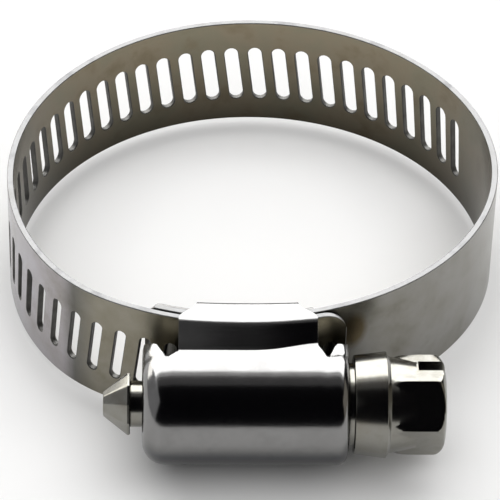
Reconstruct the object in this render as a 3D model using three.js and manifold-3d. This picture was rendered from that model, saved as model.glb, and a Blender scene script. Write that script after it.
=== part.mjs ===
// Worm-drive hose clamp, opened wide. Millimetres.
// Built on the screw's axis: +X towards the hex head, +Y from the screw into the ring, +Z up.
// The finished group is moved so that its box is centred over the origin and rests on z = 0.
import * as THREE from 'three';
import { mergeVertices } from 'three/addons/utils/BufferGeometryUtils.js';
import Module from 'manifold-3d';

const wasm = await Module();
wasm.setup();

// ---- driving dimensions ----
const BAND_WIDTH = 12.7;
const BAND_THICK = 0.63;
const SLOT_PITCH = 2.54;
const SLOT_LENGTH = 6.73;
const SLOT_WIDTH = 1.45;
const SLOT_LEAD = 5.0;            // degrees of slant, the lead angle of the thread
const SLOT_DROP = -0.3;           // slot centres sit this much below mid width

const SEAT_RADIUS = 27.0;         // centreline of the fixed band end where it lies in the housing
const SEAT_HEIGHT = 5.515;        // that centreline above the screw's axis
const LAYER_STEP = 0.8;           // sliding band centreline below the fixed one
const SEAT_ARC = 8.0;             // fixed band follows the seat this far from x = 0
const ROOT_ARC = 7.051;           // then leaves it on a slightly smaller radius
const ROOT_RADIUS = 26.7;
const FIXED_END = -8.8;           // free end of the fixed band, inside the ring
const LINK_SLOTS = 6;             // pitches in one stretch of band
const LINK_RADII = [              // centreline radius of each half of each stretch, round the ring
  [25.5, 22.5],
  [21.5, 22.2],
  [23.4, 24.1],
  [24.2, 24.1],
  [24.2, 24.6],
  [24.9, 25.1],
  [25.6, 26.2],
  [22.77, 16.478],
];
const FIRST_SLOTTED = 2;          // this stretch starts the slots, after its first web
const TAIL_START = -13.76;        // tail piece, measured along the sliding band from x = 0
const TAIL_END = 9.9;
const TAIL_CORNER = 2.5;
const CUT_GAP = 0.12;             // clearance at a web where two stretches meet

const PITCH = SLOT_PITCH;
const CREST_R = 4.9;
const ROOT_R = 4.0;
const CREST_W = 0.45;
const FOOT_W = 1.35;
const THREAD_X = [-8.0, 8.2];
const CREST_AT = 0.21;            // x of a crest on the band side

const BARREL_R = 5.77;
const SHEET = 0.7;
const BARREL_X = [-9.78, 9.78];
const WRAP_X = [-6.35, 6.85];     // ends of the strap that holds the band, at its foot
const WRAP_TOP_X = [-4.6, 5.06];  // and where it turns in under the ring
const WRAP_Z = 7.2;
const WALL = 0.65;
const TAB_REACH = 3.3;            // how far the folded tabs come in from each edge

const SCREW_TIP = -13.48;
const CONE_BASE = -10.95;
const HEAD_END = 18.97;
const HEX_CORNER_R = 4.75;
const HEX_TURN = 41;              // degrees from -Y towards +Z to one flat
const DRIVER_TURN = 98;
const DRIVER_WIDTH = 1.2;
const DRIVER_DEPTH = 2.6;

const deg = (a) => THREE.MathUtils.degToRad(a);
const SEAT_Y = SEAT_HEIGHT + SEAT_RADIUS;
const SLIDE_RADIUS = SEAT_RADIUS + LAYER_STEP;

// ---- solids ----
function solid(geometry) {
  const g = geometry.index ? geometry.clone() : geometry;
  const bare = new THREE.BufferGeometry();
  bare.setAttribute('position', g.getAttribute('position'));
  if (g.index) bare.setIndex(g.index);
  const m = mergeVertices(bare, 1e-5);
  const corners = m.index.array;
  const faces = [];
  for (let i = 0; i < corners.length; i += 3) {
    const [a, b, c] = [corners[i], corners[i + 1], corners[i + 2]];
    if (a !== b && b !== c && c !== a) faces.push(a, b, c);
  }
  const mesh = new wasm.Mesh({
    numProp: 3,
    vertProperties: new Float32Array(m.getAttribute('position').array),
    triVerts: new Uint32Array(faces),
  });
  mesh.merge();
  return new wasm.Manifold(mesh);
}

function geometryOf(manifold) {
  const mesh = manifold.getMesh();
  const g = new THREE.BufferGeometry();
  const p = new Float32Array((mesh.vertProperties.length / mesh.numProp) * 3);
  for (let i = 0; i < p.length / 3; i += 1) {
    for (let k = 0; k < 3; k += 1) p[3 * i + k] = mesh.vertProperties[mesh.numProp * i + k];
  }
  g.setAttribute('position', new THREE.BufferAttribute(p, 3));
  g.setIndex(new THREE.BufferAttribute(new Uint32Array(mesh.triVerts), 1));
  return g;
}

function prism(points, z0, z1) {
  const shape = new THREE.Shape(points.map(([x, y]) => new THREE.Vector2(x, y)));
  const g = new THREE.ExtrudeGeometry(shape, { depth: z1 - z0, bevelEnabled: false });
  g.translate(0, 0, z0);
  return solid(g);
}

// A body of revolution about X from [x, radius] points; a profile off the axis is closed here.
function turned(profile, segments = 40) {
  const onAxis = profile[0][1] === 0;
  const loop = onAxis ? profile : [...profile, profile[0]];
  const pts = loop.map(([x, r]) => new THREE.Vector2(r, x));
  const g = new THREE.LatheGeometry(pts, segments);
  g.rotateZ(-Math.PI / 2);
  const s = solid(g);
  return s.volume() < 0 ? solid(flip(g)) : s;
}

function flip(g) {
  const index = g.index.array;
  for (let i = 0; i < index.length; i += 3) [index[i], index[i + 1]] = [index[i + 1], index[i]];
  return g;
}

function box(x0, x1, y0, y1, z0, z1) {
  const g = new THREE.BoxGeometry(x1 - x0, y1 - y0, z1 - z0);
  g.translate((x0 + x1) / 2, (y0 + y1) / 2, (z0 + z1) / 2);
  return solid(g);
}

// Quarter-round corner in a turned profile, from angle a0 to a1 in degrees.
function corner(x, r, radius, a0, a1, steps = 5) {
  return Array.from({ length: steps + 1 }, (_, i) => {
    const a = deg(a0 + ((a1 - a0) * i) / steps);
    return [x + radius * Math.cos(a), r + radius * Math.sin(a)];
  });
}

// Part of a ring about the seat's centre, between two radii and two x limits.
function seatSector(rIn, rOut, x0, x1, z0, z1, steps = 14) {
  const pts = [];
  for (let i = 0; i <= steps; i += 1) {
    const x = x0 + ((x1 - x0) * i) / steps;
    pts.push([x, SEAT_Y - Math.sqrt(rOut * rOut - x * x)]);
  }
  for (let i = steps; i >= 0; i -= 1) {
    const x = x0 + ((x1 - x0) * i) / steps;
    pts.push([x, SEAT_Y - Math.sqrt(rIn * rIn - x * x)]);
  }
  return prism(pts, z0, z1);
}

// ---- band centreline ----
function follow(state, radius, length) {
  const k = 1 / radius;
  const turn = state.heading + k * length;
  return {
    x: state.x + (Math.sin(turn) - Math.sin(state.heading)) * radius,
    y: state.y - (Math.cos(turn) - Math.cos(state.heading)) * radius,
    heading: turn,
  };
}

function onSeat(radius, s) {
  const a = s / radius;
  return { x: radius * Math.sin(a), y: SEAT_Y - radius * Math.cos(a), heading: a };
}

// Samples a run of arcs every half pitch; trims the gap off each end that meets another stretch.
function runOf(start, arcs, trimStart, trimEnd) {
  const total = arcs.reduce((sum, [, length]) => sum + length, 0);
  const at = (s) => {
    let state = start;
    let left = s;
    for (const [radius, length] of arcs) {
      const step = Math.min(left, length);
      state = follow(state, radius, step);
      left -= step;
      if (left <= 0) break;
    }
    return state;
  };
  const from = trimStart;
  const to = total - trimEnd;
  const count = Math.ceil((to - from) / (SLOT_PITCH / 2));
  const states = Array.from({ length: count + 1 }, (_, i) => at(from + ((to - from) * i) / count));
  return { at, states, end: at(total) };
}

function strip(states) {
  const half = BAND_THICK / 2;
  const side = (sign) => states.map((p) => [
    p.x - sign * half * Math.sin(p.heading),
    p.y + sign * half * Math.cos(p.heading),
  ]);
  return prism([...side(-1), ...side(1).reverse()], -BAND_WIDTH / 2, BAND_WIDTH / 2);
}

function slotCutter(state) {
  const half = SLOT_LENGTH / 2 - SLOT_WIDTH / 2;
  const shape = new THREE.Shape();
  shape.absarc(0, half, SLOT_WIDTH / 2, 0, Math.PI, false);
  shape.absarc(0, -half, SLOT_WIDTH / 2, Math.PI, 2 * Math.PI, false);
  const g = new THREE.ExtrudeGeometry(shape, { depth: 2, bevelEnabled: false, curveSegments: 5 });
  g.translate(0, 0, -1);
  g.rotateZ(-deg(SLOT_LEAD));
  g.rotateX(Math.PI / 2);
  g.rotateZ(state.heading);
  g.translate(state.x, state.y, SLOT_DROP);
  return solid(g);
}

function slotted(blank, run, first, count) {
  let out = blank;
  for (let i = first; i < count; i += 1) {
    out = out.subtract(slotCutter(run.at((i + 0.5) * SLOT_PITCH)));
  }
  return out;
}

const bandPieces = [];
const hinges = [];
const gap = CUT_GAP / 2;

const rootRun = runOf(
  onSeat(SEAT_RADIUS, FIXED_END),
  [[SEAT_RADIUS, SEAT_ARC - FIXED_END], [ROOT_RADIUS, ROOT_ARC]],
  0,
  gap,
);
bandPieces.push(['band_fixed_end', strip(rootRun.states)]);

let joint = rootRun.end;
LINK_RADII.forEach((radii, i) => {
  hinges.push(joint);
  const half = (LINK_SLOTS * SLOT_PITCH) / 2;
  const run = runOf(joint, radii.map((r) => [r, half]), gap, gap);
  let piece = strip(run.states);
  if (i >= FIRST_SLOTTED) {
    piece = slotted(piece, run, i === FIRST_SLOTTED ? 1 : 0, LINK_SLOTS);
  }
  bandPieces.push([`band_link_${i + 1}`, piece]);
  joint = run.end;
});
hinges.push(joint);

const tailRun = runOf(
  onSeat(SLIDE_RADIUS, TAIL_START),
  [[SLIDE_RADIUS, TAIL_END - TAIL_START]],
  gap,
  0,
);
const tailSlots = Math.floor((TAIL_END - TAIL_START - SLOT_PITCH / 2) / SLOT_PITCH);
let tail = slotted(strip(tailRun.states), tailRun, 0, tailSlots);
for (const sign of [-1, 1]) {
  const tipX = SLIDE_RADIUS * Math.sin(TAIL_END / SLIDE_RADIUS) + BAND_THICK;
  const x = tipX - BAND_THICK - TAIL_CORNER;
  const z = sign * (BAND_WIDTH / 2 - TAIL_CORNER);
  const arc = Array.from({ length: 7 }, (_, i) => {
    const a = (Math.PI / 2) * (i / 6);
    return [x + TAIL_CORNER * Math.cos(a), z + sign * TAIL_CORNER * Math.sin(a)];
  });
  const pts = [...arc, [x, sign * BAND_WIDTH], [tipX + 2, sign * BAND_WIDTH], [tipX + 2, z]];
  const shape = new THREE.Shape(pts.map(([u, v]) => new THREE.Vector2(u, v)));
  const g = new THREE.ExtrudeGeometry(shape, { depth: 6, bevelEnabled: false });
  g.rotateX(Math.PI / 2);
  g.translate(0, 9, 0);
  tail = tail.subtract(solid(g));
}
bandPieces.push(['band_tail', tail]);

// ---- worm screw ----
// Single-start right-hand thread as one star-shaped surface: four profile points a turn.
function threadBlank(x0, turns, around = 32) {
  const profile = [
    [-FOOT_W / 2, ROOT_R],
    [-CREST_W / 2, CREST_R],
    [CREST_W / 2, CREST_R],
    [FOOT_W / 2, ROOT_R],
  ];
  const per = profile.length;
  const rows = turns * per;
  const vertices = [];
  const column = [];
  for (let j = 0; j < around; j += 1) {
    const a = (2 * Math.PI * j) / around;
    const last = j === 0 ? rows + per : rows;
    column.push([]);
    for (let m = 0; m <= last; m += 1) {
      const [dx, r] = profile[m % per];
      const x = x0 + PITCH * (Math.floor(m / per) + j / around) + dx;
      column[j].push(vertices.length / 3);
      vertices.push(x, r * Math.cos(a), r * Math.sin(a));
    }
  }
  const id = (j, m) => (j < around ? column[j][m] : column[0][m + per]);
  const start = vertices.length / 3;
  vertices.push(x0 + PITCH / 2, 0, 0);
  const end = start + 1;
  vertices.push(x0 + PITCH * (turns + 0.5), 0, 0);
  const faces = [];
  for (let j = 0; j < around; j += 1) {
    for (let m = 0; m < rows; m += 1) {
      faces.push(id(j, m), id(j + 1, m), id(j + 1, m + 1));
      faces.push(id(j, m), id(j + 1, m + 1), id(j, m + 1));
    }
    faces.push(start, id(j + 1, 0), id(j, 0));
    faces.push(end, id(j, rows), id(j + 1, rows));
  }
  for (let m = 0; m < per; m += 1) {
    faces.push(start, column[0][m], column[0][m + 1]);
    faces.push(end, column[0][rows + m + 1], column[0][rows + m]);
  }
  const g = new THREE.BufferGeometry();
  g.setAttribute('position', new THREE.Float32BufferAttribute(vertices, 3));
  g.setIndex(faces);
  const s = solid(g);
  return s.volume() < 0 ? solid(flip(g)) : s;
}

const threadTurns = 8;
const thread = threadBlank(CREST_AT - 4.5 * PITCH + PITCH / 2, threadTurns).intersect(turned([
  [THREAD_X[0], 0],
  [THREAD_X[0], ROOT_R],
  [THREAD_X[0] + 1, CREST_R + 0.2],
  [THREAD_X[1] - 1, CREST_R + 0.2],
  [THREAD_X[1], ROOT_R],
  [THREAD_X[1], 0],
]));

const shank = turned([
  [CONE_BASE - 0.2, 0],
  [CONE_BASE - 0.2, 2.0],
  [CONE_BASE, 2.2],
  [THREAD_X[0] - 0.9, 2.2],
  [THREAD_X[0] - 0.3, ROOT_R - 0.4],
  [THREAD_X[0] + 0.2, ROOT_R - 0.2],
  [THREAD_X[1] - 0.2, ROOT_R - 0.2],
  [THREAD_X[1], 4.3],
  [10.35, 4.3],
  [10.35, 4.72],
  [13.7, 5.1],
  [13.95, 4.62],
  [14.8, 4.5],
  [14.8, 0],
]);

const cone = new THREE.CylinderGeometry(1.2, 3.03, CONE_BASE - 0.22 - SCREW_TIP, 7, 1);
cone.rotateZ(Math.PI / 2);
cone.translate((SCREW_TIP + CONE_BASE - 0.22) / 2, 0, 0);
const rim = new THREE.CylinderGeometry(3.03, 2.9, 0.22, 7, 1);
rim.rotateZ(Math.PI / 2);
rim.translate(CONE_BASE - 0.11, 0, 0);

const hexPoints = Array.from({ length: 6 }, (_, i) => {
  const a = deg(HEX_TURN + 30 + 60 * i);
  return [-HEX_CORNER_R * Math.cos(a), HEX_CORNER_R * Math.sin(a)];
});
const hexShape = new THREE.Shape(hexPoints.map(([y, z]) => new THREE.Vector2(y, z)));
const hexBar = new THREE.ExtrudeGeometry(hexShape, { depth: HEAD_END - 14.0, bevelEnabled: false });
hexBar.rotateX(Math.PI / 2);
hexBar.rotateZ(Math.PI / 2);
hexBar.translate(14.0, 0, 0);
const headEnvelope = turned([
  [14.0, 0],
  [14.0, 4.45],
  [15.6, HEX_CORNER_R + 0.05],
  ...corner(HEAD_END - 1.5, HEX_CORNER_R - 1.45, 1.5, 85, 0),
  [HEAD_END, 0],
], 48);
const driver = new THREE.BoxGeometry(DRIVER_DEPTH + 1, DRIVER_WIDTH, 14);
driver.rotateX(deg(DRIVER_TURN - 90));
driver.translate(HEAD_END - DRIVER_DEPTH + (DRIVER_DEPTH + 1) / 2, 0, 0);

const head = solid(hexBar).intersect(headEnvelope);
const screw = thread
  .add(shank)
  .add(solid(cone))
  .add(solid(rim))
  .add(head)
  .subtract(solid(driver));

// ---- housing ----
const barrel = turned([
  [BARREL_X[0] + 2.2, BARREL_R],
  ...corner(BARREL_X[1] - 1.1, BARREL_R - 1.1, 1.1, 90, 0),
  [BARREL_X[1], 4.6],
  [BARREL_X[1] - SHEET, 4.6],
  [BARREL_X[1] - SHEET, 4.9],
  [BARREL_X[1] - SHEET - 0.25, BARREL_R - SHEET],
  [BARREL_X[0] + 2.0, BARREL_R - SHEET],
  ...corner(BARREL_X[0] + 2.1, BARREL_R - 2.1, 1.4, 90, 180).slice(1),
  [BARREL_X[0] + SHEET, 2.45],
  [BARREL_X[0], 2.45],
  ...corner(BARREL_X[0] + 2.2, BARREL_R - 2.2, 2.2, 180, 90).slice(0, -1),
], 48);

// The strap leaves the barrel's sides, flares out past the band's edges, stands up and folds in.
function wrapSection(wall, foot) {
  const half = [
    [foot, BARREL_R - 0.05 - wall],
    [1.1, BARREL_R - 0.11 - wall],
    [2.6, 6.3 - wall],
    [3.8, WRAP_Z - wall],
    [9.0, WRAP_Z - wall],
  ];
  const points = [...half, ...half.map(([y, z]) => [y, -z]).reverse()];
  const shape = new THREE.Shape(points.map(([y, z]) => new THREE.Vector2(y, z)));
  const g = new THREE.ExtrudeGeometry(shape, { depth: 24, bevelEnabled: false });
  g.rotateX(Math.PI / 2);
  g.rotateZ(Math.PI / 2);
  g.translate(-12, 0, 0);
  return solid(g);
}

const tabOut = SEAT_RADIUS - 0.985;
const tabIn = tabOut - 0.6;
const bandClear = SEAT_RADIUS + LAYER_STEP + BAND_THICK / 2 + 0.15;
const wrapPlan = prism([
  [WRAP_X[0], -1],
  [WRAP_X[1], -1],
  [WRAP_X[1], 3.8],
  [WRAP_TOP_X[1], 6.5],
  [WRAP_TOP_X[1], 9],
  [WRAP_TOP_X[0], 9],
  [WRAP_TOP_X[0], 6.5],
  [WRAP_X[0], 3.8],
], -WRAP_Z - 1, WRAP_Z + 1);
const belowTab = seatSector(tabIn, SEAT_Y + 2, -12, 12, -WRAP_Z - 1, WRAP_Z + 1, 24);
const underTab = seatSector(tabOut, SEAT_Y + 2, -12, 12, -WRAP_Z - 1, WRAP_Z + 1, 24);
const strap = wrapSection(0, 0.4).intersect(wrapPlan).intersect(belowTab);
const cavity = wrapSection(WALL, 0.3).intersect(underTab)
  .intersect(box(WRAP_X[0] - 0.01, WRAP_X[1] + 0.01, -1, 9, -8, 8));
const bore = turned([
  [BARREL_X[0] + 2.0, 0],
  [BARREL_X[0] + 2.0, BARREL_R - SHEET],
  [BARREL_X[1] - 1.2, BARREL_R - SHEET],
  [BARREL_X[1] - 1.2, 0],
], 48);
const tabLimit = WRAP_Z - WALL - TAB_REACH;
const tabOpening = box(-8, 8, SEAT_HEIGHT - 1, 12, -tabLimit, tabLimit);
const clearRun = seatSector(tabOut - 4, bandClear, -12, 12, -WRAP_Z - 1, WRAP_Z + 1, 24);
const housing = barrel
  .subtract(clearRun)
  .add(strap)
  .subtract(bore)
  .subtract(cavity)
  .subtract(tabOpening);

// ---- saddle: the liner between the fixed band end and the folded tabs ----
const saddleOut = SEAT_RADIUS - 0.415;
const saddleIn = saddleOut - 0.5;
const saddle = seatSector(saddleIn, saddleOut, -9.6, 8.6, -6.2, 6.2, 16);

// ---- meshes ----
const group = new THREE.Group();
group.name = 'hose_clamp';

function addMesh(name, manifold, color, roughness, metalness = 1) {
  const material = new THREE.MeshStandardMaterial({ color, roughness, metalness });
  material.name = name;
  const mesh = new THREE.Mesh(geometryOf(manifold), material);
  mesh.name = name;
  group.add(mesh);
}

for (const [name, piece] of bandPieces) addMesh(name, piece, 0x8d8b84, 0.38);
addMesh('saddle', saddle, 0x8a8880, 0.42);
addMesh('housing', housing, 0xa9a9ac, 0.22);
addMesh('worm_screw', screw, 0xb0aea8, 0.3);

const bounds = new THREE.Box3().setFromObject(group);
const move = new THREE.Vector3(
  -(bounds.min.x + bounds.max.x) / 2,
  -(bounds.min.y + bounds.max.y) / 2,
  -bounds.min.z,
);
for (const mesh of group.children) mesh.geometry.translate(move.x, move.y, move.z);

export default group;
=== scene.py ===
"""Worm-drive hose clamp: slotted steel band, pressed housing, saddle and worm screw, on a pale floor."""
import math

import bmesh
import bpy
from mathutils import Matrix, Vector


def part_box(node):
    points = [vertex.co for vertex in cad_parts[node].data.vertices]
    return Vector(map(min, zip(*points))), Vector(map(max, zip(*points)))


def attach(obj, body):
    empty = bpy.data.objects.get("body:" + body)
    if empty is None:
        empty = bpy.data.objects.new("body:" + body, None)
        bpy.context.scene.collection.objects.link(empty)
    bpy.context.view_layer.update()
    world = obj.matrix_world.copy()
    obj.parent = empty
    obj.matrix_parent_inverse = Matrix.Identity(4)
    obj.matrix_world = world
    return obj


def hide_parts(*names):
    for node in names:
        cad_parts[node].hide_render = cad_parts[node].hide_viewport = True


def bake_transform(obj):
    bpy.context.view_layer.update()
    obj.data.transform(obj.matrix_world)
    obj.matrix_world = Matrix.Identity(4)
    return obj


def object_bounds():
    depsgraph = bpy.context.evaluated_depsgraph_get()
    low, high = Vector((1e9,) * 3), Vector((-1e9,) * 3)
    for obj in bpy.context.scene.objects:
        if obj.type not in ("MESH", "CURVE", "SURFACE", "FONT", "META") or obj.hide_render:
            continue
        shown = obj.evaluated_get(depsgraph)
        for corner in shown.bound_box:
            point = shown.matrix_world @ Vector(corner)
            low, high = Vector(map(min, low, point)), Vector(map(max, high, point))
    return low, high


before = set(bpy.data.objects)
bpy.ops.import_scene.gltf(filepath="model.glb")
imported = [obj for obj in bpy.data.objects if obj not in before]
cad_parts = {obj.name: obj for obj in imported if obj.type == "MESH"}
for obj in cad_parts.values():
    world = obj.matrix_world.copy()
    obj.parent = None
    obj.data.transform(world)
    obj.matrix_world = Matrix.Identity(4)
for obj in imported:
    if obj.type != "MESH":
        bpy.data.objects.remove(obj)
cad_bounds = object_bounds()

MM = 0.001

# ---- sizes in millimetres, on the screw's axis: +X to the hex head, +Y into the ring, +Z up ----
WIDTH = 12.7                      # band height
THICK = 0.63
EDGE = 0.09                       # bevel on every band edge
PITCH = 2.54                      # from slot to slot, and the worm's lead
SLOT_LONG = 6.73
SLOT_WIDE = 1.45
SLOT_PINCH = 0.4                  # how much narrower the slots are near the tail
SLOT_LEAN = math.radians(7.0)
SLOT_DROP = -0.3
SEAT_R = 27.0                     # radius of the band under the strap
SEAT_H = 5.515                    # from the screw's axis to the band there
LAYER = 0.8                       # from the fixed end's centreline to the sliding end's
FIXED_END = -8.8
LINK = 6 * PITCH                  # band length between two hinges
ARCS = [                          # radius and length of each arc of the ring
    (27.0, 8.0 - FIXED_END),
    (26.7, 7.051),
    (25.5, LINK / 2), (22.5, LINK / 2),
    (21.5, LINK / 2), (22.2, LINK / 2),
    (23.4, LINK / 2), (24.1, LINK / 2),
    (24.2, LINK / 2), (24.1, LINK / 2),
    (24.2, LINK / 2), (24.6, LINK / 2),
    (24.9, LINK / 2), (25.1, LINK / 2),
    (25.6, LINK / 2), (26.2, LINK / 2),
    (22.77, LINK / 2), (16.478, LINK / 2),
]
ROOT_END = 15.051                 # arc length of the first hinge, from x = 0 on the fixed end
TAIL_JOIN = ROOT_END + 8 * LINK   # arc length where the tail piece starts
TAIL_START = -13.76               # the same place, measured on the sliding end from x = 0
TAIL_END = 9.9
TAIL_ZERO = TAIL_JOIN - TAIL_START
BAND_END = TAIL_ZERO + TAIL_END
TIP_ROUND = 2.5

BARREL = 5.77                     # outer radius of the housing's barrel
AXIS_UP = 7.2                     # height of the screw's axis above the housing's lower edge
HEAD_X = 18.97                    # end face of the hex head
HEX_START = 13.75
HEX_CORNER = 4.76

SEAT_Y = SEAT_H + SEAT_R
SLIDE_R = SEAT_R + LAYER

screw_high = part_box("worm_screw")[1]
house_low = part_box("housing")[0]
ORIGIN = Vector((screw_high[0] - HEAD_X * MM, house_low[1] + BARREL * MM, house_low[2] + AXIS_UP * MM))


def place(x, y, z):
    """Scene point, in metres, of a point given in millimetres on the screw's axis."""
    return ORIGIN + Vector((x, y, z)) * MM


# ---- camera ----
CAMERA_TURN = (-1.959, 40.612, 1.545)      # azimuth, elevation and roll in degrees
CAMERA_AIM = (0.901, 23.785, -1.093)
CAMERA_AWAY = 336.19
CAMERA_LENS = 240.3


def add_camera():
    """Camera at the photo's place, looking at CAMERA_AIM from CAMERA_AWAY millimetres."""
    azimuth, elevation, roll = map(math.radians, CAMERA_TURN)
    back = Vector((
        math.sin(azimuth) * math.cos(elevation),
        -math.cos(azimuth) * math.cos(elevation),
        math.sin(elevation),
    ))
    right = Vector((math.cos(azimuth), math.sin(azimuth), 0))
    up = back.cross(right)
    across = right * math.cos(roll) + up * math.sin(roll)
    upward = up * math.cos(roll) - right * math.sin(roll)
    data = bpy.data.cameras.new("camera")
    data.lens = CAMERA_LENS
    data.clip_start = 0.01
    cam = bpy.data.objects.new("camera", data)
    bpy.context.scene.collection.objects.link(cam)
    spot = place(*CAMERA_AIM) + back * CAMERA_AWAY * MM
    cam.matrix_world = Matrix((
        (across.x, upward.x, back.x, spot.x),
        (across.y, upward.y, back.y, spot.y),
        (across.z, upward.z, back.z, spot.z),
        (0, 0, 0, 1),
    ))
    bpy.context.scene.camera = cam


add_camera()


# ---- mesh helpers ----
def face_outwards(mesh):
    """Turn all faces the same way, outwards on a closed shell."""
    work = bmesh.new()
    work.from_mesh(mesh)
    bmesh.ops.recalc_face_normals(work, faces=work.faces)
    work.to_mesh(mesh)
    work.free()


def new_object(name, verts, faces, materials, normals=None, kinds=None):
    """Smooth object from points; normals are one per point, kinds one material index per face."""
    mesh = bpy.data.meshes.new(name)
    mesh.from_pydata([tuple(v) for v in verts], [], faces)
    for material in materials:
        mesh.materials.append(material)
    if kinds:
        mesh.polygons.foreach_set("material_index", kinds)
    face_outwards(mesh)
    mesh.polygons.foreach_set("use_smooth", [True] * len(mesh.polygons))
    if normals:
        mesh.normals_split_custom_set_from_vertices([tuple(n) for n in normals])
    mesh.update()
    obj = bpy.data.objects.new(name, mesh)
    bpy.context.scene.collection.objects.link(obj)
    return obj


def modify(obj, kind, **settings):
    """Add a modifier with its settings."""
    mod = obj.modifiers.new(kind.lower(), kind)
    for key, value in settings.items():
        setattr(mod, key, value)


def bake_modifiers(obj, angle):
    """Modifiers turned into mesh, shaded smooth up to the given angle in degrees."""
    bpy.context.view_layer.update()
    graph = bpy.context.evaluated_depsgraph_get()
    mesh = bpy.data.meshes.new_from_object(obj.evaluated_get(graph))
    obj.modifiers.clear()
    obj.data = mesh
    mesh.polygons.foreach_set("use_smooth", [True] * len(mesh.polygons))
    mesh.set_sharp_from_angle(angle=math.radians(angle))
    mesh.update()


def rounded(points, steps=6):
    """Polyline through (a, b, radius) points with each inner corner turned into an arc."""
    out = [Vector(points[0][:2])]
    for before, here, after in zip(points, points[1:], points[2:]):
        p, q, r = Vector(before[:2]), Vector(here[:2]), Vector(after[:2])
        into, away = (q - p).normalized(), (r - q).normalized()
        turn = math.acos(max(-1, min(1, into.dot(away))))
        if here[2] == 0 or turn < 1e-4:
            out.append(q)
            continue
        back = here[2] * math.tan(turn / 2)
        side = 1 if into.x * away.y - into.y * away.x > 0 else -1
        centre = q - into * back + Vector((-into.y, into.x)) * here[2] * side
        start = q - into * back - centre
        for i in range(steps + 1):
            a = side * turn * i / steps
            out.append(centre + Vector((
                start.x * math.cos(a) - start.y * math.sin(a),
                start.x * math.sin(a) + start.y * math.cos(a),
            )))
    out.append(Vector(points[-1][:2]))
    return out


# ---- materials ----
def node(tree, kind, inputs=None, **props):
    """Shader node with its input values and its properties set."""
    n = tree.nodes.new(kind)
    for key, value in props.items():
        setattr(n, key, value)
    for key, value in (inputs or {}).items():
        n.inputs[key].default_value = value
    return n


def ramp(tree, source, stops):
    """Colour ramp over (position, colour) stops, fed by the source socket."""
    n = tree.nodes.new("ShaderNodeValToRGB")
    n.color_ramp.elements[0].position = stops[0][0]
    n.color_ramp.elements[0].color = (*stops[0][1], 1)
    n.color_ramp.elements[1].position = stops[-1][0]
    n.color_ramp.elements[1].color = (*stops[-1][1], 1)
    for position, color in stops[1:-1]:
        n.color_ramp.elements.new(position).color = (*color, 1)
    tree.links.new(source, n.inputs["Fac"])
    return n.outputs["Color"]


def grey(v):
    return (v, v, v)


def metal(name, roughness, grain, scratch, stain_scale, strip=False):
    """Metallic shader with patchy roughness and drawn grain; returns the parts the colour is wired to."""
    material = bpy.data.materials.new(name)
    material.use_nodes = True
    tree = material.node_tree
    shader = tree.nodes["Principled BSDF"]
    shader.inputs["Metallic"].default_value = 1.0
    if strip:
        coords = node(tree, "ShaderNodeAttribute", attribute_name="strip").outputs["Vector"]
        unit = 1.0
    else:
        coords = node(tree, "ShaderNodeTexCoord").outputs["Object"]
        unit = 1000.0
    stretch = node(tree, "ShaderNodeMapping", {"Scale": tuple(unit * g for g in grain)})
    tree.links.new(coords, stretch.inputs["Vector"])
    stains = node(tree, "ShaderNodeTexNoise", {
        "Scale": stain_scale * unit / 1000, "Detail": 6.0, "Roughness": 0.62,
    })
    tree.links.new(coords, stains.inputs["Vector"])
    lines = node(tree, "ShaderNodeTexNoise", {"Scale": 1.0, "Detail": 5.0, "Roughness": 0.6})
    tree.links.new(stretch.outputs["Vector"], lines.inputs["Vector"])
    mixed = node(tree, "ShaderNodeMath", operation="ADD")
    tree.links.new(stains.outputs["Fac"], mixed.inputs[0])
    tree.links.new(lines.outputs["Fac"], mixed.inputs[1])
    rough = ramp(tree, mixed.outputs[0], [(0.35, grey(roughness[0])), (0.75, grey(roughness[1]))])
    tree.links.new(rough, shader.inputs["Roughness"])
    bump = node(tree, "ShaderNodeBump", {"Strength": scratch, "Distance": 0.00002})
    tree.links.new(lines.outputs["Fac"], bump.inputs["Height"])
    tree.links.new(bump.outputs["Normal"], shader.inputs["Normal"])
    return material, tree, shader, coords, stains.outputs["Fac"]


def steel(name, colors, *settings, strip=False, below=False):
    """Plain steel from a patchy colour ramp; the last flag multiplies in painted shade towards the underside
    and a slight painted highlight near the top.
    """
    material, tree, shader, coords, stains = metal(name, *settings, strip=strip)
    color = ramp(tree, stains, colors)
    if below:
        parts = node(tree, "ShaderNodeSeparateXYZ")
        tree.links.new(coords, parts.inputs[0])
        height = node(tree, "ShaderNodeMapRange", {"From Min": 3.5 * MM, "From Max": 7.5 * MM})
        tree.links.new(parts.outputs["Z"], height.inputs["Value"])
        # painted shade: darker towards the underside, a little lighter (painted highlight) near the top
        painted_shade = ramp(tree, height.outputs[0], [
            (0.1, grey(0.18)), (0.5, grey(0.48)), (0.75, (0.92, 0.90, 0.83)), (0.95, (1.14, 1.11, 1.03)),
        ])
        color = mix(tree, 1.0, color, painted_shade, "MULTIPLY")
    tree.links.new(color, shader.inputs["Base Color"])
    return material


def mix(tree, factor, a, b, blend="MIX"):
    """Colour a mixed with b; factor is a number or a socket."""
    n = node(tree, "ShaderNodeMix", data_type="RGBA", blend_type=blend)
    if isinstance(factor, float):
        n.inputs["Factor"].default_value = factor
    else:
        tree.links.new(factor, n.inputs["Factor"])
    tree.links.new(a, n.inputs[6])
    tree.links.new(b, n.inputs[7])
    return n.outputs[2]


TAIL_REFLECTION_SPOT = (10.667, 2.949)                  # painted dark reflection of the tail's end: a brown spot on the band, right of the strap
TAIL_REFLECTION_REACH = (1.667, 2.564)
HOUSING_SHADE = ((-7.6, 2.174), (9.2, 2.0))          # painted shade beside the housing's ends: distance from the tail's x = 0, reach along the band
HOUSING_SHADE_UP, HOUSING_SHADE_TALL = 0.417, 4.167
SHEEN_FROM, SHEEN_TO = 105.0, 155.0          # arc lengths of the painted reflection outside the band: its bright zone, then its olive zone


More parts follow.
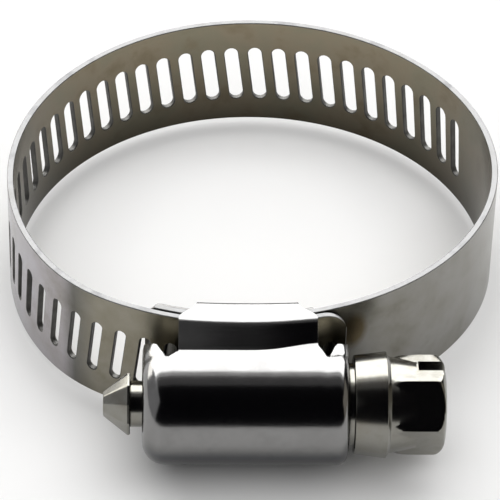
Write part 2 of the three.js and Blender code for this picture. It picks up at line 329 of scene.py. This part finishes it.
def patch(tree, coords, centre, reach, stops):
    """Colours over distance from a centre (arc length, height) on the band, out to the reach both ways."""
    scale = (1 / reach[0], 1 / reach[1], 0.0)
    shift = (-centre[0] * scale[0], -centre[1] * scale[1], 0.0)
    spot = node(tree, "ShaderNodeMapping", {"Location": shift, "Scale": scale})
    tree.links.new(coords, spot.inputs["Vector"])
    ball = node(tree, "ShaderNodeTexGradient", gradient_type="SPHERICAL")
    tree.links.new(spot.outputs["Vector"], ball.inputs["Vector"])
    return ramp(tree, ball.outputs["Fac"], stops)


def band_steel():
    """Band metal: a painted reflection outside (brighter bluish zone, dark streak, olive zone), brown inside
    with painted shade darker downwards and lighter upwards, a painted dark reflection of the tail's end and
    painted shade beside the housing.
    """
    material, tree, shader, coords, stains = metal(
        "band_steel", (0.14, 0.26), (0.35, 9.0, 9.0), 0.3, 150, strip=True,
    )
    parts = node(tree, "ShaderNodeSeparateXYZ")
    tree.links.new(coords, parts.inputs[0])
    outside = ramp(tree, stains, [
        (0.30, (0.155, 0.148, 0.122)), (0.46, (0.215, 0.208, 0.186)),
        (0.60, (0.245, 0.24, 0.224)), (0.75, (0.18, 0.172, 0.146)),
    ])
    inside = ramp(tree, stains, [
        (0.30, (0.12, 0.098, 0.062)), (0.45, (0.165, 0.142, 0.102)),
        (0.58, (0.15, 0.138, 0.10)), (0.72, (0.13, 0.106, 0.07)),
    ])
    # painted reflection along the outside: a bright bluish zone, a dark streak, then olive
    along = node(tree, "ShaderNodeMapRange", {"From Min": SHEEN_FROM, "From Max": SHEEN_TO})
    tree.links.new(parts.outputs["X"], along.inputs["Value"])
    painted_reflection = ramp(tree, along.outputs[0], [
        (0.0, grey(1.0)), (0.25, (1.45, 1.42, 1.62)), (0.53, (1.6, 1.56, 1.78)),
        (0.565, grey(0.55)), (0.62, (1.02, 0.98, 0.86)), (1.0, (1.08, 1.02, 0.88)),
    ])
    outside = mix(tree, 1.0, outside, painted_reflection, "MULTIPLY")
    height = node(tree, "ShaderNodeMapRange", {"From Min": -WIDTH / 2, "From Max": WIDTH / 2})
    tree.links.new(parts.outputs["Y"], height.inputs["Value"])
    # painted shade inside: darker towards the lower edge, lighter (painted light) towards the upper one
    shade = ramp(tree, height.outputs[0], [
        (0.0, grey(0.38)), (0.25, grey(0.62)), (0.6, grey(1.0)), (1.0, grey(1.45)),
    ])
    inside = mix(tree, 1.0, inside, shade, "MULTIPLY")
    side = node(tree, "ShaderNodeMath", operation="GREATER_THAN")
    tree.links.new(parts.outputs["Z"], side.inputs[0])
    side.inputs[1].default_value = 0.0
    color = mix(tree, side.outputs[0], inside, outside)
    # painted dark reflection of the tail's end, a brown spot
    tail_reflection = patch(tree, coords, TAIL_REFLECTION_SPOT, TAIL_REFLECTION_REACH, [
        (0.0, grey(1.0)), (0.45, (0.52, 0.42, 0.27)), (1.0, (0.42, 0.33, 0.2)),
    ])
    color = mix(tree, 1.0, color, tail_reflection, "MULTIPLY")
    # painted shade on the band beside the housing's two ends
    for at, reach in HOUSING_SHADE:
        housing_shade = patch(tree, coords, (TAIL_ZERO + at, HOUSING_SHADE_UP), (reach, HOUSING_SHADE_TALL), [
            (0.0, grey(1.0)), (0.35, (0.45, 0.42, 0.35)), (1.0, (0.16, 0.15, 0.12)),
        ])
        color = mix(tree, 1.0, color, housing_shade, "MULTIPLY")
    tree.links.new(color, shader.inputs["Base Color"])
    return material


BAND = band_steel()
TRIM = steel(
    "band_trim",
    [(0.35, (0.13, 0.13, 0.132)), (0.5, (0.185, 0.185, 0.185)), (0.68, (0.155, 0.154, 0.151))],
    (0.30, 0.42), (0.8, 6.0, 6.0), 0.4, 300, strip=True,
)
CUT = steel(
    "band_cut",
    [(0.35, (0.085, 0.083, 0.08)), (0.65, (0.14, 0.138, 0.13))],
    (0.42, 0.55), (6.0, 1.0, 6.0), 0.3, 500, strip=True,
)
SADDLE = steel(
    "saddle_steel",
    [(0.35, (0.15, 0.148, 0.143)), (0.5, (0.20, 0.198, 0.193)), (0.68, (0.17, 0.166, 0.158))],
    (0.18, 0.3), (1.0, 6.0, 6.0), 0.3, 250,
)
# the housing gets painted shade towards its underside
HOUSE = steel(
    "housing_steel",
    [(0.35, (0.168, 0.171, 0.182)), (0.5, (0.196, 0.20, 0.213)), (0.68, (0.172, 0.175, 0.186))],
    (0.09, 0.16), (0.5, 6.0, 6.0), 0.15, 260, below=True,
)
SCREW = steel(
    "screw_steel",
    [(0.35, (0.19, 0.183, 0.158)), (0.5, (0.23, 0.226, 0.205)), (0.68, (0.205, 0.194, 0.165))],
    (0.11, 0.19), (8.0, 1.2, 1.2), 0.2, 400,
)


# ---- band ----
HOLE_TOP, HOLE_BOTTOM = 3.65, -4.25           # rows of faces just above and below the slots
FLANK_TOP, FLANK_BOTTOM = 5.0, -5.2
COLS, SIDES = 6, 8                            # faces along one cell, and up its slot
ROWS = [HOLE_BOTTOM + (HOLE_TOP - HOLE_BOTTOM) * i / SIDES for i in range(SIDES + 1)]
TIP_FLAT = 3.0                                # height up to which the tip's end stays straight
TIP_LEAST = 0.16                              # keeps the tip's corners from closing to a point


def follow(x, y, heading, radius, length):
    """Point and heading at the end of one arc."""
    turn = heading + length / radius
    return (
        x + (math.sin(turn) - math.sin(heading)) * radius,
        y - (math.cos(turn) - math.cos(heading)) * radius,
        turn,
    )


def on_seat(radius, s):
    """Point and heading at arc length s on the curve under the strap."""
    a = s / radius
    return radius * math.sin(a), SEAT_Y - radius * math.cos(a), a


def band_at(s):
    """Centreline point and heading at arc length s, measured from x = 0 on the fixed end."""
    if s >= TAIL_JOIN:
        return on_seat(SLIDE_R, TAIL_START + s - TAIL_JOIN)
    state = on_seat(SEAT_R, FIXED_END)
    left = s - FIXED_END
    for radius, length in ARCS:
        step = min(left, length)
        state = follow(*state, radius, step)
        left -= step
        if left <= 0:
            break
    return state


def half_width(s):
    """Half the band's height at s, less at its rounded tip."""
    run = s - (BAND_END - TIP_ROUND)
    if run <= 0:
        return WIDTH / 2
    return WIDTH / 2 - TIP_ROUND + math.sqrt(max(TIP_ROUND ** 2 - min(run, TIP_ROUND) ** 2, TIP_LEAST))


def smooth(t):
    """Ease from 0 to 1 as t goes from 0 to 1."""
    t = max(0.0, min(1.0, t))
    return t * t * (3 - 2 * t)


def slot_outline(grow):
    """Slot edge as (u, v, normal u, normal v), clockwise from the upper left, matched to the cell's rim."""
    radius = SLOT_WIDE / 2
    half = (SLOT_LONG - SLOT_WIDE) / 2
    pts = []
    for top in (1, -1):
        for i in range(COLS + 1):
            a = math.radians(160 - 140 * i / COLS) if top == 1 else math.radians(-20 - 140 * i / COLS)
            pts.append((math.cos(a), math.sin(a), top * half))
        for i in range(1, SIDES):
            pts.append((top, 0.0, top * half * (1 - 2 * (i - 1) / (SIDES - 2))))
    out = []
    for nu, nv, shift in pts:
        p, q = (radius + grow) * nu, (radius + grow) * nv + shift
        cos, sin = math.cos(SLOT_LEAN), math.sin(SLOT_LEAN)
        out.append((
            p * cos + q * sin, -p * sin + q * cos + SLOT_DROP,
            nu * cos + nv * sin, -nu * sin + nv * cos,
        ))
    return out


def cell_rim(a, b):
    """Outline of the cell around a slot, with as many points as the slot's edge."""
    us = [a + (b - a) * i / COLS for i in range(COLS + 1)]
    rim = [(u, ROWS[-1]) for u in us]
    rim += [(b, v) for v in reversed(ROWS[1:-1])]
    rim += [(u, ROWS[0]) for u in reversed(us)]
    rim += [(a, v) for v in ROWS[1:-1]]
    return rim


class Strip:
    """Band mesh in (arc length, height, depth) coordinates; depth runs outwards from the ring."""

    def __init__(self):
        self.index = {}
        self.points = []
        self.normals = []
        self.faces = []
        self.kinds = []

    def add(self, s, v, w, normal):
        """Index of the point, added once; its first normal stays."""
        key = (round(s, 4), round(v, 4), round(w, 4))
        if key not in self.index:
            self.index[key] = len(self.points)
            self.points.append((s, v, w))
            self.normals.append(normal)
        return self.index[key]

    def face(self, kind, *ids):
        """Face of one material, left out where its corners meet."""
        ids = [i for n, i in enumerate(ids) if i != ids[n - 1]]
        if len(ids) > 2:
            self.faces.append(ids)
            self.kinds.append(kind)

    def grid(self, rows, kind=0):
        """Faces between each row of points and the next."""
        for upper, lower in zip(rows, rows[1:]):
            for i in range(len(upper) - 1):
                self.face(kind, upper[i], upper[i + 1], lower[i + 1], lower[i])

    def finish(self, name):
        """Bend the strip along the ring; the flat coordinates stay as an attribute for the steel."""
        verts, normals = [], []
        for (s, v, w), (ns, nv, nw) in zip(self.points, self.normals):
            x, y, heading = band_at(s)
            along = Vector((math.cos(heading), math.sin(heading), 0))
            outward = Vector((math.sin(heading), -math.cos(heading), 0))
            limit = half_width(s)
            if limit < WIDTH / 2 and abs(v) > TIP_FLAT:
                squeeze = (limit - TIP_FLAT) / (WIDTH / 2 - TIP_FLAT)
                v = math.copysign(TIP_FLAT + (abs(v) - TIP_FLAT) * squeeze, v)
            spot = Vector((x, y, v)) + outward * w
            verts.append(place(*spot))
            normals.append((along * ns + Vector((0, 0, nv)) + outward * nw).normalized())
        obj = new_object(name, verts, self.faces, [BAND, TRIM, CUT], normals, self.kinds)
        strip = obj.data.attributes.new("strip", "FLOAT_VECTOR", "POINT")
        strip.data.foreach_set("vector", [c for p in self.points for c in p])
        return obj


def add_cell(strip, a, b, slot):
    """One pitch of band from a to b, with or without its slot."""
    half = THICK / 2
    us = [a + (b - a) * i / COLS for i in range(COLS + 1)]
    top = WIDTH / 2
    for side in (1, -1):
        w = side * half
        flat = (0, 0, side)
        upper = [top - EDGE, FLANK_TOP]
        lower = [FLANK_BOTTOM, -(top - EDGE)]
        spans = [upper + [ROWS[-1]], [ROWS[0]] + lower] if slot else [upper + ROWS[::-1] + lower]
        for span in spans:
            rows = [[strip.add(u, v, w, flat) for u in us] for v in span]
            if side == -1:
                rows = [list(reversed(r)) for r in rows]
            strip.grid(rows)
        for z in (1, -1):
            inner = [strip.add(u, z * (top - EDGE), w, flat) for u in us]
            outer = [strip.add(u, z * top, side * (half - EDGE), (0, z, 0)) for u in us]
            pair = [outer, inner] if z == side else [inner, outer]
            strip.grid(pair, 1)
    for z in (1, -1):
        front = [strip.add(u, z * top, half - EDGE, (0, z, 0)) for u in us]
        rear = [strip.add(u, z * top, -(half - EDGE), (0, z, 0)) for u in us]
        strip.grid([rear, front] if z == 1 else [front, rear], 1)
    if not slot:
        return
    mid = (a + b) / 2
    rim = cell_rim(a, b)
    pinch = SLOT_PINCH / 2 * smooth((mid - TAIL_JOIN + 5 * LINK / 2) / LINK)
    hole, wide = slot_outline(-pinch), slot_outline(EDGE - pinch)
    rings = [
        [strip.add(u, v, half, (0, 0, 1)) for u, v in rim],
        [strip.add(mid + u, v, half, (0, 0, 1)) for u, v, _, _ in wide],
        [strip.add(mid + u, v, half - EDGE, (-nu, -nv, 0)) for u, v, nu, nv in hole],
        [strip.add(mid + u, v, -(half - EDGE), (-nu, -nv, 0)) for u, v, nu, nv in hole],
        [strip.add(mid + u, v, -half, (0, 0, -1)) for u, v, _, _ in wide],
        [strip.add(u, v, -half, (0, 0, -1)) for u, v in rim],
    ]
    rings = [ring + ring[:1] for ring in rings]
    strip.grid(rings[:2])
    strip.grid(rings[1:5], 2)
    strip.grid(rings[4:])


def close_end(strip, s, direction, free):
    """Cap at arc length s. A free end gets a rounded edge, a joint to the next piece a plain cap."""
    half = THICK / 2
    top = WIDTH / 2
    heights = [top - EDGE, FLANK_TOP] + ROWS[::-1] + [FLANK_BOTTOM, -(top - EDGE)]
    front = [strip.add(s, v, half, (0, 0, 1)) for v in heights]
    rear = [strip.add(s, v, -half, (0, 0, -1)) for v in heights]
    ends = [
        [strip.add(s, z * top, w, (0, z, 0)) for w in (half - EDGE, -(half - EDGE))]
        for z in (1, -1)
    ]
    if not free:
        ring_front = [ends[0][0]] + front + [ends[1][0]]
        ring_rear = [ends[0][1]] + rear + [ends[1][1]]
        strip.grid([ring_front, ring_rear] if direction == 1 else [ring_rear, ring_front])
        return
    tip = s + direction * EDGE
    across = (direction, 0, 0)
    front_tip = [strip.add(tip, v, half - EDGE, across) for v in heights]
    rear_tip = [strip.add(tip, v, -(half - EDGE), across) for v in heights]
    rings = [
        [ends[0][0]] + front + [ends[1][0]],
        [ends[0][0]] + front_tip + [ends[1][0]],
        [ends[0][1]] + rear_tip + [ends[1][1]],
        [ends[0][1]] + rear + [ends[1][1]],
    ]
    strip.grid(rings if direction == 1 else rings[::-1], 1)


def has_slot(cell_mid):
    """The slotted run starts one pitch past the third hinge and ends short of the tip."""
    first = ROOT_END + 2 * LINK + PITCH
    return first < cell_mid < TAIL_JOIN + 9 * PITCH


def band_piece(name, start, end, free_start=False, free_end=False):
    """Band from start to end in whole cells, with a plain part cell at a free end."""
    strip = Strip()
    lead = (end - ROOT_END) % PITCH if free_end else 0
    first = start + ((ROOT_END - start) % PITCH if free_start else 0)
    if first > start:
        add_cell(strip, start, first, False)
    for i in range(round((end - lead - first) / PITCH)):
        a, b = first + i * PITCH, first + (i + 1) * PITCH
        add_cell(strip, a, b, has_slot((a + b) / 2))
    if lead > 0.01:
        add_cell(strip, end - lead, end, False)
    close_end(strip, start, -1, free_start)
    close_end(strip, end, 1, free_end)
    return strip.finish(name)


def point_at(s):
    """Scene point on the band's centreline at arc length s."""
    x, y, _ = band_at(s)
    return place(x, y, 0)


def add_band():
    """Eleven pieces end to end: one on each end body, and one across each of the nine hinges."""
    bodies = ["clamp_root"] + [f"link_{i}" for i in range(1, 9)] + ["tail"]
    nodes = ["band_fixed_end"] + [f"band_link_{i}" for i in range(1, 9)] + ["band_tail"]
    hinges = [ROOT_END + i * LINK for i in range(9)]

    piece = band_piece("band_fixed", FIXED_END + EDGE, hinges[0] - LINK / 2, free_start=True)
    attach(piece, bodies[0])
    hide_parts(nodes[0])

    for i, hinge in enumerate(hinges):
        start, end = hinge - LINK / 2, hinge + LINK / 2
        piece = band_piece(f"band_ring_{i + 1}", start, end)
        point_at(start)
        point_at(end)
        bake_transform(piece)
        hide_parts(nodes[i], nodes[i + 1])

    piece = band_piece("band_tail_end", hinges[-1] + LINK / 2, BAND_END - EDGE, free_end=True)
    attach(piece, bodies[-1])
    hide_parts(nodes[-1])


add_band()


# ---- housing ----
SHEET = 0.56
BARREL_X = (-9.78, 9.78)
MOUTH = (2.45, 4.62)               # radii of the openings at the left and right end
SHOULDER = (2.2, 1.1)              # rounding between the barrel and each end
STRAP_X = (-6.35, 6.85)
STRAP_TOP_X = (-4.6, 5.06)
STRAP_COLS = 16
STRAP_Y, STRAP_Z = 6.84, 7.17      # corner where the strap folds over the band's edge
TAB_Z = 3.55                       # inner end of the folded tabs
BRANCH = 102                       # degrees round the barrel where the strap leaves it, left end
BRANCH_MORE = 9                    # and how much further round at the right end
NOTCH_AT = 96                      # degrees that the sheet reaches in the notches beside the strap
NOTCH_WIDE = (0.95, 0.8)           # from the strap to the notch's deepest place, left and right
NOTCH_RISE = (1.35, 1.1)           # and from there to the end's full reach
FLAT_FROM = 92                     # degrees past which the sheet runs straight towards the ring
BOW_BARREL, BOW_TOP = 98, 170      # radii of the strap's curve beside the barrel and at its fold
SKIN_STEPS = 36                    # columns of faces round each half of the barrel
DENT = 0.26                        # depth of the dents beside the strap
FLANK_Y = 3.75                     # where the strap's flanks stop widening


def barrel_profile():
    """Outer (x, radius) of the barrel, from the rolled-in left end to the right one."""
    left = [(BARREL_X[0], MOUTH[0], 0), (BARREL_X[0], BARREL, SHOULDER[0])]
    right = [(BARREL_X[1], BARREL, SHOULDER[1]), (BARREL_X[1], MOUTH[1], 0)]
    pts = rounded(left + right, 8)
    out = []
    for p, q in zip(pts, pts[1:]):
        steps = max(1, int((q - p).length / 0.35))
        out += [p + (q - p) * i / steps for i in range(steps)]
    out.append(pts[-1])
    return out


def add_housing():
    """One open sheet of faces, thickened inwards: the barrel, then a strap flank and tab on each side."""
    verts, index, faces = [], {}, []

    def vert(x, y, z):
        key = (round(x, 3), round(y, 3), round(z, 3))
        if key not in index:
            index[key] = len(verts)
            verts.append(place(x, y, z))
        return index[key]

    def skin(rows):
        for a, b in zip(rows, rows[1:]):
            for i in range(len(a) - 1):
                quad = [a[i], a[i + 1], b[i + 1], b[i]]
                if len(set(quad)) > 2:
                    faces.append(list(dict.fromkeys(quad)))

    profile = barrel_profile()
    strap_cols = [STRAP_X[0] + (STRAP_X[1] - STRAP_X[0]) * i / STRAP_COLS for i in range(STRAP_COLS + 1)]
    straight = [-7.3, -6.9, -6.6] + strap_cols + [7.1, 7.4, 7.65, 7.9, 8.15, 8.4]   # closer at the notches
    body = [p for p in profile if p.x < -7.5]
    body += [Vector((x, BARREL)) for x in straight]
    body += [p for p in profile if p.x > 8.55]

    def gap_from_strap(x):
        return STRAP_X[0] - x if x < 0 else x - STRAP_X[1]

    def reach(x, radius=BARREL):
        """How far round the sheet goes at x: over the ends, less at the two notches beside the strap."""
        gap = gap_from_strap(x)
        if gap <= 0:
            return BRANCH + BRANCH_MORE * smooth(x / STRAP_X[1]) ** 1.5
        right = int(x > 0)
        edge = BRANCH + BRANCH_MORE * right
        if gap < NOTCH_WIDE[right]:
            return edge - gap / NOTCH_WIDE[right] * (edge - NOTCH_AT)
        flat_run = 8.26 - 1.064 * radius         # longer where the end rolls in
        level = FLAT_FROM + math.degrees(flat_run / radius) * smooth((radius - 2.6) / 2.0)
        return NOTCH_AT + (level - NOTCH_AT) * smooth((gap - NOTCH_WIDE[right]) / NOTCH_RISE[right])

    def sheet_point(radius, turn, dip=0.0):
        """Round up to the straightening angle, then flat towards the ring."""
        a = math.radians(min(turn, FLAT_FROM))
        run = radius * math.radians(max(0.0, turn - FLAT_FROM))
        r = radius - dip
        return -r * math.cos(a) + run * math.sin(a), r * math.sin(a) + run * math.cos(a)

    rows = []
    for p in body:
        row = []
        gap = gap_from_strap(p.x)
        dent = DENT * smooth((gap - 0.45) / 0.5) * (1 - 0.75 * smooth((gap - 1.4) / 1.2))
        for i in range(2 * SKIN_STEPS + 1):
            turn = reach(p.x, p.y) * (i / SKIN_STEPS - 1)
            dip = dent * 0.5 * (1 + math.cos(math.pi * max(-1, min(1, (abs(turn) - BRANCH) / 10))))
            y, z = sheet_point(p.y, abs(turn), dip)
            row.append(vert(p.x, y, math.copysign(z, turn)))
        rows.append(row)
    skin(rows)

    def strap_line(x):
        """Section of one flank, fold and tab at x, as (y, z) points starting on the barrel."""
        start = sheet_point(BARREL, reach(x))
        pts = rounded([
            (*start, 0),
            (start[0] + 0.1, start[1], 0.2),
            (FLANK_Y, STRAP_Z, 1.15),
            (STRAP_Y, STRAP_Z, 0.75),
            (STRAP_Y, TAB_Z, 0),
        ], 7)
        out = []
        for p, q in zip(pts, pts[1:]):
            steps = 7 if (q - p).length > 1.2 else 1
            out += [p + (q - p) * i / steps for i in range(steps)]
        return out + [pts[-1]]

    lines = [strap_line(x) for x in strap_cols]
    for side in (1, -1):
        rows = []
        for k in range(len(lines[0])):
            row = []
            for i, line in enumerate(lines):
                p = line[k]
                narrow = smooth((p.x - 3.9) / 2.5) if p.y > 6.9 or p.x < 6 else 1.0
                x0 = STRAP_X[0] + (STRAP_TOP_X[0] - STRAP_X[0]) * narrow
                x1 = STRAP_X[1] + (STRAP_TOP_X[1] - STRAP_X[1]) * narrow
                flatter = smooth((p.x - 4.2) / 2.4) * (1 / BOW_BARREL - 1 / BOW_TOP)
                bow = smooth((p.x - 1.0) / 3.0) / BOW_BARREL - flatter
                x = x0 + (x1 - x0) * i / STRAP_COLS
                row.append(vert(x, p.x + bow * x * x if k else p.x, side * p.y))
            rows.append(row)
        skin(rows if side == -1 else rows[::-1])
    obj = new_object("housing_shell", verts, faces, [HOUSE])
    modify(obj, "SOLIDIFY", thickness=SHEET * MM, offset=-1.0)
    modify(obj, "BEVEL", width=0.14 * MM, segments=3, limit_method="ANGLE", angle_limit=math.radians(50))
    bake_modifiers(obj, 40)
    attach(obj, "clamp_root")
    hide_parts("housing")


add_housing()


# ---- saddle ----
SADDLE_X = (-9.6, 6.6)
SADDLE_TALL = 12.3
SADDLE_IN = 0.43                   # from the fixed end's centreline to the saddle's outer face


def add_saddle():
    """Thin liner on the inside of the fixed end, narrower at its left end."""
    outer_r = SEAT_R - SADDLE_IN
    cols, rows = 28, 10
    verts, faces = [], []
    for i in range(cols + 1):
        x = SADDLE_X[0] + (SADDLE_X[1] - SADDLE_X[0]) * i / cols
        squeeze = 1.0 - 0.22 * smooth((-x - 8.2) / 1.4)
        for j in range(rows + 1):
            z = SADDLE_TALL * (j / rows - 0.5) * squeeze
            verts.append(place(x, SEAT_Y - math.sqrt(outer_r ** 2 - x * x), z))
    for i in range(cols):
        for j in range(rows):
            a = i * (rows + 1) + j
            faces.append([a, a + 1, a + rows + 2, a + rows + 1])
    obj = new_object("saddle_liner", verts, faces, [SADDLE])
    if sum(face.normal.y for face in obj.data.polygons) > 0:
        obj.data.flip_normals()
    modify(obj, "SOLIDIFY", thickness=0.3 * MM, offset=-1.0, use_even_offset=True)
    modify(obj, "BEVEL", width=0.1 * MM, segments=2, limit_method="ANGLE", angle_limit=math.radians(50))
    bake_modifiers(obj, 40)
    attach(obj, "clamp_root")
    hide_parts("saddle")


add_saddle()


# ---- worm screw ----
CONE_TURN = math.radians(5.0)
HEX_TURN = math.radians(11.0)
HEX_BLEND = 20.0                   # higher makes a harder line between the flats and the rounded end
HEAD_FLARE, HEAD_ROUND = 15.5, 17.4   # x where the head's flare stops and its rounding starts
DRIVER_TURN = math.radians(-16.0)
DRIVER_WIDE = 1.6
DRIVER_DEEP = 2.6
SHANK = [                          # x, radius and corner rounding from the left end to inside the head
    (-11.1, 0, 0), (-11.1, 1.9, 0.1), (-10.9, 2.2, 0.1), (-9.0, 2.2, 0.3),
    (-8.3, 3.9, 0.3), (8.0, 3.9, 0.2), (8.4, 3.95, 0.2), (10.3, 3.95, 0.02),
    (10.3, 4.7, 0.12), (13.35, 5.1, 0.08), (13.68, 4.6, 0.1),
    (14.4, 4.48, 0.3), (16.2, 4.2, 0), (16.2, 0, 0),
]
CONE = [                           # x and corner radius of the ten-sided left end
    (-13.48, 0), (-13.48, 1.15), (-13.4, 1.26), (-11.25, 3.0),
    (-11.17, 3.07), (-10.98, 3.07), (-10.92, 2.98), (-10.92, 0),
]
THREAD_X = (-7.6, 7.8)
THREAD_ROOT = 3.85
THREAD_SIDE = [(-0.68, THREAD_ROOT), (-0.62, 4.05), (-0.27, 4.83), (-0.2, 4.89)]   # half a section
THREAD_STEPS, THREAD_FADE = 40, 14   # steps in a turn, and steps over which each end rises
CREST_X = 0.21                     # where a crest points straight at the ring


def revolve(profile, around, shape=None, phase=0.0):
    """Closed shell about the X axis; shape(angle, radius) may change each radius."""
    verts, faces, rings = [], [], []
    for x, r in profile:
        if r == 0:
            rings.append([len(verts)] * around)
            verts.append(place(x, 0, 0))
            continue
        ring = []
        for j in range(around):
            a = 2 * math.pi * j / around + phase
            radius = shape(a, r) if shape else r
            ring.append(len(verts))
            verts.append(place(x, -radius * math.cos(a), radius * math.sin(a)))
        rings.append(ring)
    for a, b in zip(rings, rings[1:]):
        for j in range(around):
            k = (j + 1) % around
            quad = list(dict.fromkeys([a[j], b[j], b[k], a[k]]))
            if len(quad) > 2:
                faces.append(quad)
    return verts, faces


def merge(parts):
    """One list of points and one of faces from several."""
    verts, faces = [], []
    for v, f in parts:
        base = len(verts)
        verts += v
        faces += [[i + base for i in q] for q in f]
    return verts, faces


def thread_ridge():
    """The helical ridge alone: a rounded trapezoid swept along a right-hand helix, with tapered ends."""
    outline = THREAD_SIDE + [(-dx, r) for dx, r in reversed(THREAD_SIDE)]
    start, end = THREAD_X
    count = int((end - start) / PITCH * THREAD_STEPS)
    verts, faces = [], []
    for i in range(count + 1):
        x0 = start + (end - start) * i / count
        a = math.pi - (x0 - CREST_X) / PITCH * 2 * math.pi
        fade = min(1.0, i / THREAD_FADE, (count - i) / THREAD_FADE)
        for dx, r in outline:
            radius = THREAD_ROOT + (r - THREAD_ROOT) * fade
            verts.append(place(x0 + dx, -radius * math.cos(a), radius * math.sin(a)))
    n = len(outline)
    for i in range(count):
        for k in range(n):
            j = (k + 1) % n
            faces.append([i * n + k, i * n + j, (i + 1) * n + j, (i + 1) * n + k])
    faces.append(list(range(n)))
    faces.append(list(range(count * n, count * n + n))[::-1])
    return verts, faces


def ten_sided(a, r):
    """Radius at angle a of a ten-sided outline with its corners at r."""
    step = math.pi / 5
    return r * math.cos(step / 2) / math.cos((a - CONE_TURN) % step - step / 2)


def hexed(a, r):
    """Radius at angle a of the hex flats or of the round outline r, whichever is less, blended."""
    step = math.pi / 3
    flat = HEX_CORNER * math.cos(step / 2) / math.cos((a - HEX_TURN) % step - step / 2)
    return -math.log(math.exp(-HEX_BLEND * flat) + math.exp(-HEX_BLEND * r)) / HEX_BLEND


def head_line():
    """Points (x, radius) of the head: flared from the collar, straight, then rounded to the end face."""
    pts = [(HEX_START, 0), (HEX_START, 4.35), (14.05, 4.5), (14.45, 4.64), (14.95, 4.76), (HEAD_FLARE, 4.84)]
    pts += [(HEAD_FLARE + (HEAD_ROUND - HEAD_FLARE) * i / 4, 4.84 + 0.03 * i) for i in range(1, 5)]
    for i in range(11):
        a = math.radians(5 + 85 * i / 10)
        pts.append((HEAD_ROUND + (HEAD_X - HEAD_ROUND) * math.sin(a), 3.45 + 1.51 * math.cos(a)))
    return pts + [(HEAD_X, 2.0), (HEAD_X, 0)]


def driver_cutter():
    """Block that is cut out of the head for the driver slot."""
    mesh = bpy.data.meshes.new("driver_cut")
    cut = bpy.data.objects.new("driver_cut", mesh)
    bpy.context.scene.collection.objects.link(cut)
    long = 4.6
    work = bmesh.new()
    bmesh.ops.create_cube(work, size=1)
    centre = Matrix.Translation(place(HEAD_X - DRIVER_DEEP + long / 2, 0, 0))
    size = Matrix.Diagonal((long * MM, DRIVER_WIDE * MM, 14 * MM, 1))
    work.transform(centre @ Matrix.Rotation(DRIVER_TURN, 4, "X") @ size)
    work.to_mesh(mesh)
    work.free()
    return cut


def add_screw():
    """Shank with collar, thread, ten-sided end and slotted hex head, overlapping in one object."""
    verts, faces = merge([
        revolve([(p.x, p.y) for p in rounded(SHANK, 3)], 96),
        thread_ridge(),
        revolve(CONE, 60, ten_sided, CONE_TURN),
        revolve(head_line(), 120, hexed, HEX_TURN),
    ])
    obj = new_object("screw_body", verts, faces, [SCREW])
    cut = driver_cutter()
    modify(obj, "BOOLEAN", operation="DIFFERENCE", object=cut, solver="EXACT", use_self=True)
    bake_modifiers(obj, 32)
    bpy.data.objects.remove(cut)
    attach(obj, "screw")
    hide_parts("worm_screw")


add_screw()


# ---- floor and light ----
def area_light(name, direction, distance, size, power, color=(1, 1, 1), glossy=True, diffuse=True):
    """Rectangular light aimed at the clamp from a direction, at a distance in metres."""
    data = bpy.data.lights.new(name, "AREA")
    data.shape = "RECTANGLE"
    data.size, data.size_y = size
    data.energy = power
    data.color = color
    lamp = bpy.data.objects.new(name, data)
    bpy.context.scene.collection.objects.link(lamp)
    aim = Vector(direction).normalized()
    lamp.location = place(0, 15, 0) + aim * distance
    lamp.rotation_euler = aim.to_track_quat("Z", "Y").to_euler()
    lamp.visible_glossy = glossy
    lamp.visible_diffuse = diffuse


def add_stage():
    """Matt paper floor, the lights and a faint violet surround."""
    bpy.ops.mesh.primitive_plane_add(size=4.0, location=(0, 0, cad_bounds[0][2]))
    floor = bpy.context.object
    floor.name = "floor"
    material = bpy.data.materials.new("floor_paper")
    material.use_nodes = True
    shader = material.node_tree.nodes["Principled BSDF"]
    shader.inputs["Base Color"].default_value = (0.86, 0.857, 0.85, 1)
    shader.inputs["Roughness"].default_value = 0.8
    shader.inputs["Specular IOR Level"].default_value = 0.1
    floor.data.materials.append(material)

    up = math.radians(46)
    behind = (0, math.cos(up), math.sin(up))
    area_light("softbox", behind, 0.8, (1.6, 0.82), 5.5)
    area_light("softbox_sheen", behind, 0.79, (1.6, 0.82), 16, diffuse=False)
    area_light("left", (-1, -0.1, 0.4), 0.75, (1.2, 0.9), 1.5, (0.98, 0.98, 1.0), diffuse=False)
    area_light("glint", (-0.70, 0.69, 0.25), 0.7, (0.45, 0.3), 1.7, (1.0, 0.98, 0.93), diffuse=False)
    area_light("right", (1, -0.2, 0.35), 0.7, (0.6, 0.5), 0.4, (1.0, 0.93, 0.8), diffuse=False)
    area_light("feather", (0, 0.2, 1), 0.8, (1.6, 0.13), 0.5)
    area_light("ceiling", (0, -0.03, 1), 0.8, (1.6, 0.3), 0.2)
    area_light("fill", (0, -0.25, 1), 1.6, (3.2, 3.2), 45, glossy=False)

    world = bpy.data.worlds.new("studio")
    bpy.context.scene.world = world
    world.use_nodes = True
    background = world.node_tree.nodes["Background"]
    background.inputs["Color"].default_value = (0.75, 0.7, 1.0, 1)
    background.inputs["Strength"].default_value = 0.006
    bpy.context.scene.view_settings.view_transform = "Standard"


add_stage()
